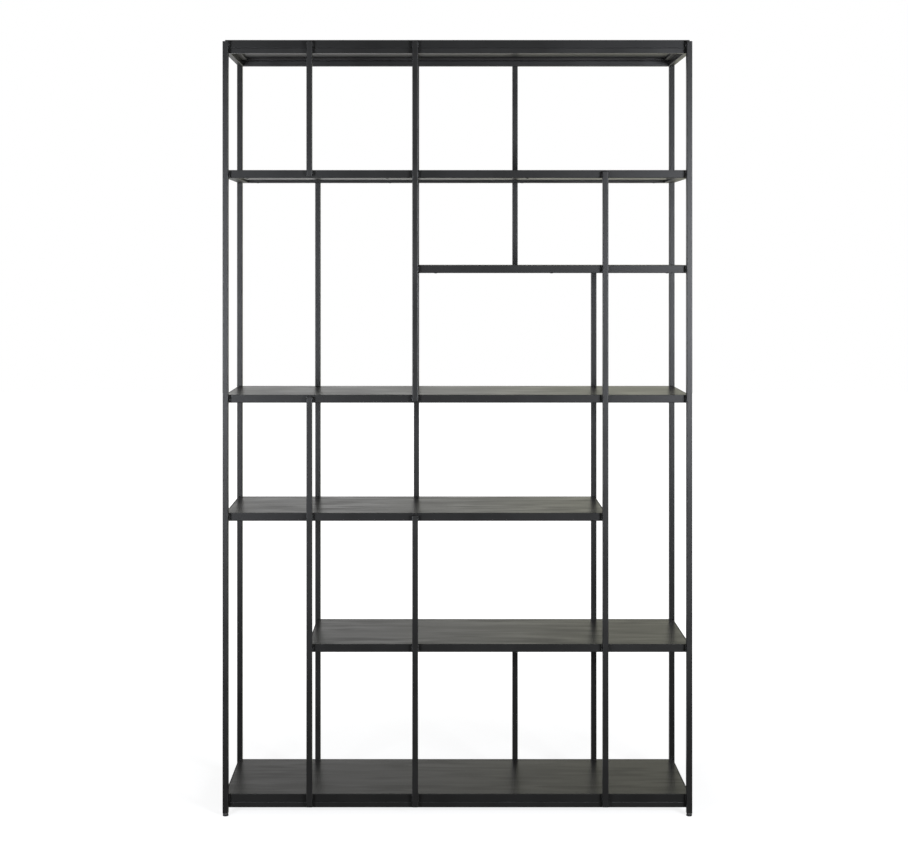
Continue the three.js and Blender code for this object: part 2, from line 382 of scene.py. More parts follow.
def vector_node(tree, operation, first, second):
    """Result socket of a Vector Math node."""
    node = add_node(tree, "ShaderNodeVectorMath", {0: first, 1: second}, operation=operation)
    return node.outputs[0]


def noise(tree, vector, scale, detail=2.0, roughness=0.5):
    """Noise value, 0 to 1, with a mean of one half. A scale along each axis is a triple."""
    if isinstance(scale, tuple):
        vector, scale = vector_node(tree, "MULTIPLY", vector, scale), 1.0
    return add_node(tree, "ShaderNodeTexNoise", {
        "Vector": vector, "Scale": scale, "Detail": detail, "Roughness": roughness,
    }).outputs["Fac"]


def spread(tree, value, low, high, new_low=0.0, new_high=1.0):
    """A value remapped and clamped, smoothly, from one range to another."""
    return add_node(tree, "ShaderNodeMapRange", {
        "Value": value, "From Min": low, "From Max": high, "To Min": new_low,
        "To Max": new_high}, interpolation_type="SMOOTHSTEP").outputs[0]


MOTTLE_SHARE = 0.012        # the mottle's noise scale against the relief's


def grain_relief_group():
    """Moulded or sprayed skin: a fine noise as its height and a far broader one as its mottle."""
    tree, given, result = new_group(
        "Skin relief",
        [("Vector", "NodeSocketVector", None), ("Scale", "NodeSocketFloat", 700.0)],
        [("Height", "NodeSocketFloat", None), ("Mottle", "NodeSocketFloat", None)])
    fine = noise(tree, given["Vector"], given["Scale"], 2.0)
    broad_scale = math_node(tree, "MULTIPLY", given["Scale"], MOTTLE_SHARE)
    broad = noise(tree, given["Vector"], broad_scale, 3.0, 0.6)
    tree.links.new(fine, result["Height"])
    tree.links.new(broad, result["Mottle"])
    return tree


def dust_group():
    """Settled dust: where the surface faces up, broken by a noise, up to the given amount."""
    tree, given, result = new_group(
        "Settled dust",
        [("Vector", "NodeSocketVector", None), ("Amount", "NodeSocketFloat", 0.2)],
        [("Mask", "NodeSocketFloat", None)])
    normal = add_node(tree, "ShaderNodeNewGeometry").outputs["Normal"]
    up = add_node(tree, "ShaderNodeSeparateXYZ", {0: normal}).outputs[2]
    facing = spread(tree, up, 0.6, 1.0)
    cloud = spread(tree, noise(tree, given["Vector"], 9.0, 4.0, 0.6), 0.3, 0.75)
    masked = math_node(tree, "MULTIPLY", facing, cloud)
    tree.links.new(math_node(tree, "MULTIPLY", masked, given["Amount"]), result["Mask"])
    return tree


def edge_highlight_group():
    """Painted highlight on the rounded edges: the piece's own edge weight, broken by a noise,
    times the amount.
    """
    tree, given, result = new_group(
        "Painted edge highlight",
        [("Vector", "NodeSocketVector", None), ("Amount", "NodeSocketFloat", 0.5)],
        [("Mask", "NodeSocketFloat", None)])
    edge = add_node(tree, "ShaderNodeAttribute", attribute_name="edge").outputs["Fac"]
    broken = spread(tree, noise(tree, given["Vector"], 45.0, 4.0, 0.65), 0.35, 0.7)
    masked = math_node(tree, "MULTIPLY", edge, broken)
    tree.links.new(math_node(tree, "MULTIPLY", masked, given["Amount"]), result["Mask"])
    return tree


# Noise scales of the wood along X, Y and Z, per metre.
BEND_SCALE = (1.6, 5.0, 5.0)
FIGURE_SCALE = (5.5, 36.0, 36.0)
PATCH_SCALE = (3.5, 9.0, 9.0)
FIBRE_SCALE = (9.0, 900.0, 900.0)
PORE_SCALE = (70.0, 1500.0, 1500.0)
BEND_REACH = 0.035          # how far the slow noise bends the grain, from side to side
STAVE_SHIFT = (3.71, 0.53)  # from one stave's pattern to the next, along X and along Z
STAVE_TONE = 0.12           # how far one stave's tone may be from another's


def wood_group(wood):
    """Long grain along X, in staves.

    Each stave, a band of the stave width across Y, shifts the pattern to a place of its own. Its
    tone follows the fraction of 0.618 times its number, so that neighbours differ. Figure is a
    noise stretched along X and bent by a slower one, and is strong only in the patches of
    another. Fibres are a much narrower noise, and pores are the tops of a third, short and
    narrow. Colour runs from late wood to early wood with figure, tone and fibres, less the
    pores, and the height is fibres less pores.
    """
    tree, given, result = new_group(
        "Stained grain",
        [("Vector", "NodeSocketVector", None), ("Late", "NodeSocketColor", None),
         ("Early", "NodeSocketColor", None)],
        [("Colour", "NodeSocketColor", None), ("Streak", "NodeSocketFloat", None),
         ("Height", "NodeSocketFloat", None)])
    parts = add_node(tree, "ShaderNodeSeparateXYZ", {0: given["Vector"]}).outputs
    stave = math_node(tree, "FLOOR", math_node(tree, "DIVIDE", parts[1], wood.stave_width))
    shift = add_node(tree, "ShaderNodeCombineXYZ", {
        0: math_node(tree, "MULTIPLY", stave, STAVE_SHIFT[0]),
        2: math_node(tree, "MULTIPLY", stave, STAVE_SHIFT[1])})
    moved = vector_node(tree, "ADD", given["Vector"], shift.outputs[0])
    bend = noise(tree, moved, BEND_SCALE)
    bend = math_node(tree, "MULTIPLY_ADD", bend, BEND_REACH, -BEND_REACH / 2)
    across = add_node(tree, "ShaderNodeCombineXYZ", {1: bend}).outputs[0]
    bent = vector_node(tree, "ADD", moved, across)
    figure = noise(tree, bent, FIGURE_SCALE, 2.5)
    patch = spread(tree, noise(tree, moved, PATCH_SCALE), 0.38, 0.66)
    fibres = noise(tree, bent, FIBRE_SCALE, 2.0, 0.6)
    pores = spread(tree, noise(tree, bent, PORE_SCALE, 1.0), 0.62, 0.74)
    tone = math_node(tree, "FRACT", math_node(tree, "MULTIPLY_ADD", stave, 0.618, 0.31))
    tone = math_node(tree, "MULTIPLY_ADD", tone, STAVE_TONE, -STAVE_TONE / 2)
    figure = math_node(tree, "SUBTRACT", spread(tree, figure, 0.3, 0.7), 0.5)
    strength = math_node(tree, "MULTIPLY_ADD", patch, 0.9, 0.25)
    figure = math_node(tree, "MULTIPLY", figure, strength)
    streak = math_node(tree, "ADD", math_node(tree, "ADD", figure, 0.5), tone)
    mixed = math_node(tree, "MULTIPLY", streak, 0.75)
    mixed = math_node(tree, "MULTIPLY_ADD", fibres, 0.25, mixed)
    mixed = math_node(tree, "MULTIPLY_ADD", pores, -0.35, mixed, clamp=True)
    height = math_node(tree, "MULTIPLY_ADD", pores, -1.0, fibres)
    tree.links.new(blend_colour(tree, mixed, given["Late"], given["Early"]), result["Colour"])
    tree.links.new(streak, result["Streak"])
    tree.links.new(height, result["Height"])
    return tree


@functools.cache
def shared_groups():
    """The shared effects, built once."""
    return {"relief": grain_relief_group(), "dust": dust_group(), "edge_highlight": edge_highlight_group(),
            "wood": wood_group(bpy.context.scene.bookcase_wood)}


def start_material(name, **sockets):
    """A material whose shader has the given fixed socket values, and its Object coordinates."""
    material = bpy.data.materials.new(name)
    material.use_nodes = True
    tree = material.node_tree
    shader = tree.nodes["Principled BSDF"]
    for key, value in sockets.items():
        shader.inputs[key.replace("_", " ")].default_value = value
    return material, tree, shader, tree.nodes.new("ShaderNodeTexCoord").outputs["Object"]


def group_node(tree, name, values):
    """An instance of a shared effect with its own values."""
    node = add_node(tree, "ShaderNodeGroup", node_tree=shared_groups()[name])
    fill_inputs(tree, node, values)
    return node.outputs


def set_bump(tree, shader, height, strength, distance):
    """Bump on the shader's normal from a height."""
    bump = add_node(tree, "ShaderNodeBump", {
        "Strength": strength, "Distance": distance, "Height": height})
    tree.links.new(bump.outputs[0], shader.inputs["Normal"])


def opaque(colour):
    """RGB as RGBA."""
    return (*colour, 1.0)


MOTTLE_TONES = (0.82, 1.22)  # a coat's darkest and lightest patches against its colour
# Painted highlight: a lighter coat colour laid on the rounded edges.
EDGE_HIGHLIGHT_COLOUR = (0.055, 0.055, 0.057, 1.0)
DUST = (0.16, 0.155, 0.145, 1.0)


def coated_material(name, colour, roughness, relief_scale, relief_depth, edge_highlight, dust, **sockets):
    """A black skin over metal or plastic: mottled, dusty above, with a painted highlight along its
    rounded edges.
    """
    material, tree, shader, place = start_material(name, **sockets)
    relief = group_node(tree, "relief", {"Vector": place, "Scale": relief_scale})
    # Mask of the painted highlight on the rounded edges.
    painted_edge_highlight = group_node(tree, "edge_highlight", {"Vector": place, "Amount": edge_highlight})["Mask"]
    dusty = group_node(tree, "dust", {"Vector": place, "Amount": dust})["Mask"]
    darker, lighter = (opaque([tone * c for c in colour]) for tone in MOTTLE_TONES)
    base = blend_colour(tree, relief["Mottle"], darker, lighter)
    # Painted highlight: the rounded edges are mixed towards a lighter colour.
    base = blend_colour(tree, painted_edge_highlight, base, EDGE_HIGHLIGHT_COLOUR)
    base = blend_colour(tree, dusty, base, DUST)
    tree.links.new(base, shader.inputs["Base Color"])
    rough = spread(tree, relief["Mottle"], 0.2, 0.8, roughness - 0.035, roughness + 0.045)
    # The same edge mask also makes those edges smoother.
    rough = math_node(tree, "MULTIPLY_ADD", painted_edge_highlight, -0.12, rough)
    rough = math_node(tree, "MULTIPLY_ADD", dusty, 0.25, rough, clamp=True)
    tree.links.new(rough, shader.inputs["Roughness"])
    set_bump(tree, shader, relief["Height"], 0.35, relief_depth)
    return material


def tube_coat():
    """Black powder coat on smooth drawn tube, satin, with a fine orange peel."""
    steel = bpy.context.scene.bookcase_steel
    # The edge amount paints a highlight on the rounded edges.
    return coated_material("Black powder coat on tube", steel.colour, steel.tube_roughness, 750.0,
                           0.03 * MM, edge_highlight=0.15, dust=0.05)


def sheet_coat():
    """The same coat on rolled sheet, which is a little duller."""
    steel = bpy.context.scene.bookcase_steel
    # The edge amount paints a highlight on the rounded edges.
    return coated_material("Black powder coat on sheet", steel.colour, steel.sheet_roughness,
                           600.0, 0.03 * MM, edge_highlight=0.15, dust=0.05, Specular_IOR_Level=0.37)


def moulded_plastic():
    """Black moulded plastic, matt, with a spark-eroded texture."""
    # The edge amount paints a highlight on the rounded edges.
    return coated_material("Black moulded plastic", (0.012, 0.012, 0.0125), 0.55, 1600.0,
                           0.04 * MM, edge_highlight=0.3, dust=0.12)


def stained_wood():
    """Black stained wood under satin lacquer, with open pores."""
    wood = bpy.context.scene.bookcase_wood
    material, tree, shader, place = start_material("Black stained wood")
    grain = group_node(tree, "wood", {
        "Vector": place, "Late": opaque(wood.dark), "Early": opaque(wood.light)})
    dusty = group_node(tree, "dust", {"Vector": place, "Amount": 0.03})["Mask"]
    base = blend_colour(tree, dusty, grain["Colour"], DUST)
    tree.links.new(base, shader.inputs["Base Color"])
    rough = spread(tree, grain["Streak"], 0.0, 1.0, wood.roughness + 0.06, wood.roughness - 0.04)
    rough = math_node(tree, "MULTIPLY_ADD", dusty, 0.3, rough, clamp=True)
    tree.links.new(rough, shader.inputs["Roughness"])
    set_bump(tree, shader, grain["Height"], 0.30, 0.08 * MM)
    return material


def zinc_plate():
    """Bright zinc plate with a fine relief and dulled patches."""
    material, tree, shader, place = start_material("Bright zinc plate", Metallic=1.0)
    relief = group_node(tree, "relief", {"Vector": place, "Scale": 900.0})
    dull, bright = (0.36, 0.36, 0.35, 1.0), (0.56, 0.56, 0.55, 1.0)
    base = blend_colour(tree, relief["Mottle"], dull, bright)
    tree.links.new(base, shader.inputs["Base Color"])
    rough = spread(tree, relief["Mottle"], 0.2, 0.8, 0.24, 0.42)
    tree.links.new(rough, shader.inputs["Roughness"])
    set_bump(tree, shader, relief["Height"], 0.2, 0.02 * MM)
    return material


@functools.cache
def finish(maker):
    """The material that a function makes, made at its first use."""
    return maker()


# ---------------- steel pieces
class BOOKCASE_OT_posts(bpy.types.Operator):
    """Make the square tube posts, with ground end plates and paint vents"""

    bl_idname = "bookcase.posts"
    bl_label = "Posts"

    def execute(self, context):
        steel = context.scene.bookcase_steel
        for node in POST_NODES:
            low, high = node_box(node)
            middle = (low + high) / 2
            half = (high[0] - low[0]) / 2
            rings, quads, caps, weights = tube_part(
                half, low[2], high[2], steel, steel.tube_radius, open_below="corner" in node)
            rings = rings + np.array([middle[0], middle[1], 0.0])
            add_piece(f"{node}_tube", [(rings, quads, caps, weights)], finish(tube_coat),
                      replaces=node)
        return {"FINISHED"}


class BOOKCASE_OT_rails(bpy.types.Operator):
    """Make the carrier rails under the top and bottom shelves"""

    bl_idname = "bookcase.rails"
    bl_label = "Carrier rails"

    def execute(self, context):
        steel = context.scene.bookcase_steel
        for level in ("top", "bottom"):
            for side in SIDES:
                node = f"rail_{level}_{side}"
                low, high = node_box(node)
                long_rail = side in ("front", "back")
                axis = "x" if long_rail else "y"
                reach = (high - low)["xyz".index(axis)] / 2
                half = (high[2] - low[2]) / 2
                rings, quads, caps, weights = tube_part(
                    half, -reach, reach, steel, steel.rail_radius, open_below=not long_rail,
                    open_above=not long_rail)
                rings = turned(rings, axis) + (low + high) / 2
                add_piece(f"{node}_tube", [(rings, quads, caps, weights)], finish(tube_coat),
                          replaces=node)
        return {"FINISHED"}


def tray_part(low, high, steel):
    """A mitred frame of folded sheet, one ring for each point of its outline.

    The outline is a J: an upright wall outside, a flat flange under the board and a short lip.
    A point is an inset u and a height v, and its ring is the tray's outer rectangle drawn in
    by u, at height v. The outline closes on itself. Its radii are small at cut edges, larger
    outside a fold and tight inside it.
    """
    height = high[2] - low[2]
    sheet, flange, lip = steel.sheet, steel.flange, steel.lip
    cut, fold, inside = 0.35 * MM, 1.3 * MM, 0.4 * MM
    corners = [(0, 0), (0, height), (sheet, height), (sheet, sheet), (flange - sheet, sheet),
               (flange - sheet, lip), (flange, lip), (flange, 0)]
    radii = [fold, cut, cut, inside, inside, cut, cut, fold]
    outline, weights = rounded_outline(corners, radii, 3)
    middle, half = (low + high) / 2, (high - low) / 2
    outer_radius, root_radius = 1.5 * MM, 0.6 * MM
    levels = [(half[0] - u, half[1] - u, max(outer_radius - u, root_radius), low[2] + v, w)
              for (u, v), w in zip(outline, weights)]
    rings, weights = stack_rings(levels)
    quads, caps = skin(rings, closed=True)
    return rings + np.array([middle[0], middle[1], 0.0]), quads, caps, weights


class BOOKCASE_OT_trays(bpy.types.Operator):
    """Make the folded steel frames that hold the boards"""

    bl_idname = "bookcase.trays"
    bl_label = "Shelf trays"

    def execute(self, context):
        steel = context.scene.bookcase_steel
        for shelf in SHELVES:
            node = f"shelf_{shelf}_tray"
            low, high = node_box(node)
            add_piece(f"{node}_folded", [tray_part(low, high, steel)], finish(sheet_coat),
                      replaces=node)
        return {"FINISHED"}


def bead_part(start, length, side, out, leg):
    """A fillet weld standing in the corner between a post's side and a tray's edge.

    Its section is a quarter round of the leg's radius, bulged by an eighth, swept up the corner.
    Along the way its size swells by a sine with the pitch of the weld's ripples and tapers off
    as a quarter circle over the last leg at each end. The root lies a little inside the corner.
    side and out are the corner's directions.
    """
    spacing, pitch, swell = 0.45 * MM, 1.5 * MM, 0.09
    throw, root = 0.92, -0.15
    stations = max(int(length / spacing), 8)
    t = np.linspace(0, 1, stations)
    run = t * length
    from_end = np.minimum(run, length - run)
    taper = np.sqrt(np.clip(1 - (1 - np.clip(from_end / leg, 0, 1)) ** 2, 0.02, 1))
    ripple = 1 + swell * np.sin(run * 2 * math.pi / pitch)
    size = leg * taper * ripple
    angle = np.linspace(0, math.pi / 2, 7)
    bulge = 1 + 0.12 * np.sin(2 * angle)
    arc = np.column_stack([np.cos(angle) * bulge, np.sin(angle) * bulge])
    section = np.concatenate([arc * throw, [[root, root]]])
    along_x = section[None, :, 0] * size[:, None] * side
    along_y = section[None, :, 1] * size[:, None] * out
    rings = np.stack([along_x, along_y, np.broadcast_to(run[:, None], along_x.shape)], -1)
    if side * out < 0:
        rings = rings[:, ::-1]
    quads, caps = skin(rings)
    return rings + start, quads, caps, np.zeros(rings.shape[:2])


class BOOKCASE_OT_welds(bpy.types.Operator):
    """Make the fillet welds where posts cross the trays"""

    bl_idname = "bookcase.welds"
    bl_label = "Weld beads"

    def execute(self, context):
        steel = context.scene.bookcase_steel
        inset = 1.2 * MM        # bead's end to the edge of what it joins
        for shelf in SHELVES:
            low, high = node_box(f"shelf_{shelf}_tray")
            parts = []
            for node in POST_NODES:
                post_low, post_high = node_box(node)
                if post_low[2] > high[2] - inset or post_high[2] < low[2] + inset:
                    continue
                if post_low[0] > high[0] or post_high[0] < low[0]:
                    continue
                bottom = max(low[2], post_low[2]) + inset
                top = min(high[2], post_high[2]) - inset
                at_front = post_high[1] < 0
                face = low[1] if at_front else high[1]
                out = -1 if at_front else 1
                for side, x in ((-1, post_low[0]), (1, post_high[0])):
                    if low[0] + steel.bead < x < high[0] - steel.bead:
                        start = np.array([x, face, bottom])
                        parts.append(bead_part(start, top - bottom, side, out, steel.bead))
            add_piece(f"shelf_{shelf}_weld_beads", parts, finish(tube_coat),
                      smooth_angle=60)
        return {"FINISHED"}


# ---------------- wooden boards
# The waves of a board's upper face, in radians per metre.
WAVE_ALONG = 7.3
WAVE_ACROSS = 31
WAVE_SKEW = 2.1
WAVE_SHIFT = 40             # by the board's height, so that no two boards are alike


def board_part(low, high, wood):
    """A board as its Y-Z outline carried along X.

    The upper edge has many points. There the height falls by waviness * (1 - product of two
    slow cosines) / 2, the waves of planing and drying, fading out over the eased edges. The
    ends are eased by drawing the outline in along a quarter round.
    """
    middle, half = (low + high) / 2, (high - low) / 2
    radius = wood.edge_radius
    stations, lanes = 121, 31
    across = np.linspace(1, -1, lanes + 2)[1:-1] * (half[1] - 4 * radius)
    upper = [(y, half[2]) for y in across]
    corners = [(-half[1], -half[2]), (half[1], -half[2]), (half[1], half[2]), *upper,
               (-half[1], half[2])]
    radii = [radius, radius, radius, *([0.0] * len(upper)), radius]
    outline, edge = rounded_outline(corners, radii, 3)
    a = np.linspace(0, math.pi / 2, 4)
    drawn_in = radius * (1 - np.sin(a))
    inset = np.concatenate([drawn_in, np.zeros(stations), drawn_in[::-1]])
    ease = radius * (1 - np.cos(a))
    body = np.linspace(-half[0] + radius + SUPPORT, half[0] - radius - SUPPORT, stations)
    x = np.concatenate([-half[0] + ease, body, half[0] - ease[::-1]])
    end = np.concatenate([np.ones(len(a)), np.zeros(stations), np.ones(len(a))])
    y = outline[None, :, 0] * (1 - inset[:, None] / half[1])
    z = outline[None, :, 1] * (1 - inset[:, None] / half[2])
    x = np.broadcast_to(x[:, None], y.shape)
    fade = 12 * MM
    top_face = (outline[:, 1] > half[2] - 1e-7)[None] * np.clip(
        (half[1] - np.abs(y)) / fade, 0, 1)
    phase = WAVE_SHIFT * middle[2]
    wave = np.cos(x * WAVE_ALONG + phase) * np.cos(y * WAVE_ACROSS + WAVE_SKEW * x + phase)
    z = z - wood.waviness * top_face * (1 - wave) / 2
    rings = np.stack([x, y, z], -1) + middle
    quads, caps = skin(rings)
    return rings, quads, caps, np.maximum(edge[None], end[:, None])


class BOOKCASE_OT_boards(bpy.types.Operator):
    """Make the stained boards that lie in the trays"""

    bl_idname = "bookcase.boards"
    bl_label = "Boards"

    def execute(self, context):
        wood = context.scene.bookcase_wood
        for shelf in SHELVES:
            node = f"shelf_{shelf}_board"
            low, high = node_box(node)
            add_piece(f"{node}_stained", [board_part(low, high, wood)], finish(stained_wood),
                      replaces=node)
        return {"FINISHED"}


LONG_TRAY = 1.12            # a longer tray has four screws a row instead of three


def screw_part(x, y, z):
    """A low head screw seen from below, as height against angle and distance from its axis.

    The head is a shallow dome, height * (1 - (r / R) ** 4) ** 0.5, with a cross sunk where the
    distance to the nearer of two lines through the axis is under half the slot's width.
    """
    radius, height = 4.0 * MM, 1.2 * MM
    slot_half, slot_reach, slot_depth = 0.45 * MM, 2.1 * MM, 0.7 * MM
    angle = np.linspace(0, 2 * math.pi, 33)[:-1]
    r = np.array([0.15, 0.45, 0.75, 1.1, 1.6, 2.0, 2.3, 2.8, 3.3, 3.7, 3.92, 4.0]) * MM
    rr, aa = np.meshgrid(r[::-1], angle, indexing="ij")
    px, py = rr * np.cos(aa), rr * np.sin(aa)
    dome = height * np.sqrt(np.clip(1 - (rr / radius) ** 4, 0, 1))
    off_line = np.minimum(np.abs(px), np.abs(py))
    sunk = np.clip((slot_half - off_line) / (0.25 * MM), 0, 1)
    sunk = sunk * np.clip((slot_reach - rr) / (0.3 * MM), 0, 1)
    pz = -dome + slot_depth * sunk
    rings = np.stack([px, py, pz], -1)[:, ::-1]
    quads, caps = skin(rings)
    return rings + np.array([x, y, z]), quads, caps, np.zeros(rings.shape[:2])


class BOOKCASE_OT_screws(bpy.types.Operator):
    """Make the screws that hold each board from below"""

    bl_idname = "bookcase.screws"
    bl_label = "Board screws"

    def execute(self, context):
        steel = context.scene.bookcase_steel
        line, end = steel.screw_line, steel.screw_end
        for shelf in SHELVES:
            low, high = node_box(f"shelf_{shelf}_tray")
            count = 4 if high[0] - low[0] > LONG_TRAY else 3
            parts = [screw_part(x, y, low[2])
                     for x in np.linspace(low[0] + end, high[0] - end, count)
                     for y in (low[1] + line, high[1] - line)]
            add_piece(f"shelf_{shelf}_board_screws", parts, finish(sheet_coat),
                      smooth_angle=40)
        return {"FINISHED"}


# ---------------- feet
def turned_part(x, y, radius, height):
    """A grid of rings about an upright axis: radius and height against level and angle."""
    around = radius.shape[1]
    angle = np.arange(around) * 2 * math.pi / around
    rings = np.stack([radius * np.cos(angle), radius * np.sin(angle),
                      np.broadcast_to(height, radius.shape)], -1) + np.array([x, y, 0.0])
    quads, caps = skin(rings)
    return rings, quads, caps, np.zeros(radius.shape)


def pad_part(low, high, foot):
    """A moulded pad with a rounded rim and a socket in its top, turned from its outline.

    Near the rim its finger ribs draw the radius in by their depth * (1 - cos(grips * angle)) / 2.
    """
    x, y, _ = (low + high) / 2
    radius, top = (high[0] - low[0]) / 2, high[2]
    socket, floor_of_socket, chamfer = 3.5 * MM, 2.0 * MM, 0.3 * MM
    rib_band, rib_depth = 0.9 * MM, 0.28 * MM
    a = np.linspace(0, math.pi / 2, 5)
    foot_round, top_round = 0.8 * MM, 1.2 * MM
    outer = [(0.1 * MM, 0.0), (radius - foot_round - SUPPORT, 0.0)]
    outer += list(zip(radius - foot_round * (1 - np.sin(a)), foot_round * (1 - np.cos(a))))
    outer += list(zip(radius - top_round * (1 - np.cos(a)), top - top_round * (1 - np.sin(a))))
    outer += [(socket + chamfer, top), (socket, top - chamfer), (socket, floor_of_socket),
              (0.1 * MM, floor_of_socket)]
    profile = np.array(outer)
    around = foot.grips * 8
    angle = np.arange(around) * 2 * math.pi / around
    side = np.clip((profile[:, 0] - (radius - rib_band)) / rib_band, 0, 1)[:, None]
    ribs = rib_depth * (1 - np.cos(angle * foot.grips)) / 2
    return turned_part(x, y, profile[:, :1] - side * ribs[None], profile[:, 1:])


def stem_parts(low, high, foot):
    """A threaded rod with a chamfered hexagon collar.

    The thread's radius is its crest less the depth times a triangle wave of height over pitch
    less the turn, flattened at crest and root. The collar's radius is the hexagon's, half the
    flats over the cosine of the angle to the nearest flat's middle, cut by a cone at each end.
    """
    x, y, _ = (low + high) / 2
    crest, bottom, top = 3.0 * MM, low[2], high[2]
    around = 28
    angle = np.arange(around) * 2 * math.pi / around
    levels = np.linspace(bottom, top, int((top - bottom) / foot.pitch * 10))[:, None]
    turn = levels / foot.pitch - angle[None] / (2 * math.pi)
    wave = np.abs((turn % 1) * 2 - 1)
    depth = foot.thread_depth * np.clip(wave * 1.5 - 0.25, 0, 1)
    point = np.clip(np.minimum(levels - bottom, top - levels) / (1.0 * MM), 0, 1)
    radius = (crest - depth) * (0.72 + 0.28 * point)
    thread = turned_part(x, y, radius, levels)
    half_flats, collar_bottom, collar_top = 5.0 * MM, 5.25 * MM, 7.75 * MM
    around = 96
    angle = np.arange(around) * 2 * math.pi / around
    to_flat = (angle % (math.pi / 3)) - math.pi / 6
    hexagon = half_flats / np.cos(to_flat)
    z = np.array([0, 0, 0.12, 0.3, 0.5, 0.7, 0.88, 1, 1])[:, None]
    cone = half_flats * (1.0 + 0.75 * np.minimum(z, 1 - z))
    radius = np.minimum(hexagon[None], cone)
    radius[[0, -1]] = 3.05 * MM
    collar = turned_part(x, y, radius, collar_bottom + z * (collar_top - collar_bottom))
    return [thread, collar]


def insert_parts(low, high, steel):
    """A moulded plug: an eased square flange under the tube and a ribbed plug inside it.

    Its rings go down the round hole, out and up round the flange, and up the plug, which widens
    to each rib and narrows again.
    """
    x, y, _ = (low + high) / 2
    half = (high[0] - low[0]) / 2
    flange_top, bore, clearance = 10.0 * MM, 3.25 * MM, 0.25 * MM
    rib, taper = 0.3 * MM, 0.6 * MM
    plug = half - steel.tube_wall - clearance
    bottom, ease = low[2], 0.5 * MM
    hole = (bore, bore - 0.02 * MM, bore - 0.05 * MM)
    levels = [(*hole, high[2], 0.0), (*hole, bottom, 0.0)]
    levels += eased_levels(half, steel.tube_radius, bottom, ease, rising=False, steps=2)
    levels += [(half, half, steel.tube_radius, flange_top, 0.0),
               (plug, plug, ease, flange_top, 0.0)]
    for step in range(5):
        z = flange_top + (1 + 3 * step) * MM
        levels += [(plug - rib, plug - rib, ease, z, 0.0),
                   (plug, plug, ease, z + 0.8 * MM, 0.0),
                   (plug - rib, plug - rib, ease, z + 1.2 * MM, 0.0)]
    levels.append((plug - taper, plug - taper, ease, high[2], 0.0))
    rings, weights = stack_rings(levels)
    quads, caps = skin(rings, closed=True)
    return [(rings + np.array([x, y, 0.0]), quads, caps, weights)]


class BOOKCASE_OT_feet(bpy.types.Operator):
    """Make the levelling feet: inserts, threaded stems and pads"""

    bl_idname = "bookcase.feet"
    bl_label = "Levelling feet"

    def execute(self, context):
        foot = context.scene.bookcase_foot
        steel = context.scene.bookcase_steel
        for corner in CORNERS:
            insert, stem, pad = (f"foot_{kind}_{corner}" for kind in ("insert", "stem", "pad"))
            add_piece(f"{insert}_moulding", insert_parts(*node_box(insert), steel),
                      finish(moulded_plastic), replaces=insert)
            add_piece(f"{stem}_thread", stem_parts(*node_box(stem), foot), finish(zinc_plate),
                      body=f"stem_{corner}", replaces=stem, smooth_angle=40)
            add_piece(f"{pad}_moulding", [pad_part(*node_box(pad), foot)],
                      finish(moulded_plastic), body=f"pad_{corner}",
                      replaces=pad, smooth_angle=40)
        return {"FINISHED"}


# ---------------- studio
AIM_HEIGHT = 1.3            # the lamps point at the middle of the front, this high
SIDE_AHEAD = 2.7            # side soft boxes, in front of the bookcase
KEY_ACROSS, KEY_HEIGHT = 1.95, 1.4
FILL_ACROSS, FILL_HEIGHT = -1.90, 1.2
KEY_TINT, FILL_TINT = (0.97, 1.0, 1.07), (0.965, 1.0, 1.08)
SOFT_BOX = (1.0, 1.1)       # width and height
PANEL_AHEAD, PANEL_HEIGHT = 3.0, 2.0
PANEL = (7.0, 2.8)          # width and height
FLOOR_REACH = 14.0


def aim(thing, target):
    """Turns a lamp or camera, which look along -Z, at a point."""
    direction = Vector(target) - thing.location
    thing.rotation_euler = direction.to_track_quat("-Z", "Y").to_euler()


def soft_box(name, place, target, width, height, power, colour):
    """A rectangular area lamp."""
    lamp = bpy.data.lights.new(name, "AREA")
    lamp.shape = "RECTANGLE"
    lamp.size, lamp.size_y = width, height
    lamp.energy = power
    lamp.color = colour
    thing = bpy.data.objects.new(name, lamp)
    bpy.context.scene.collection.objects.link(thing)
    thing.location = place
    aim(thing, target)
    return thing


def side_lamps(stage, target, suffix="", shares=(1.0, 1.0)):
    """The right and the left soft box, each at a share of its power."""
    y = target[1] - SIDE_AHEAD
    return (soft_box(f"key_soft_box{suffix}", (KEY_ACROSS, y, KEY_HEIGHT), target, *SOFT_BOX,
                     stage.key_power * shares[0], KEY_TINT),
            soft_box(f"fill_soft_box{suffix}", (FILL_ACROSS, y, FILL_HEIGHT), target, *SOFT_BOX,
                     stage.fill_power * shares[1], FILL_TINT))


def link_light(lamps, pieces, state):
    """Light linking, like a studio's flags: lamps leave out the pieces, or light only them."""
    linked = bpy.data.collections.new(f"{lamps[0].name}_{state.lower()}")
    for piece in pieces:
        linked.objects.link(piece)
    for item in linked.collection_objects:
        item.light_linking.link_state = state
    for lamp in lamps:
        lamp.light_linking.receiver_collection = linked


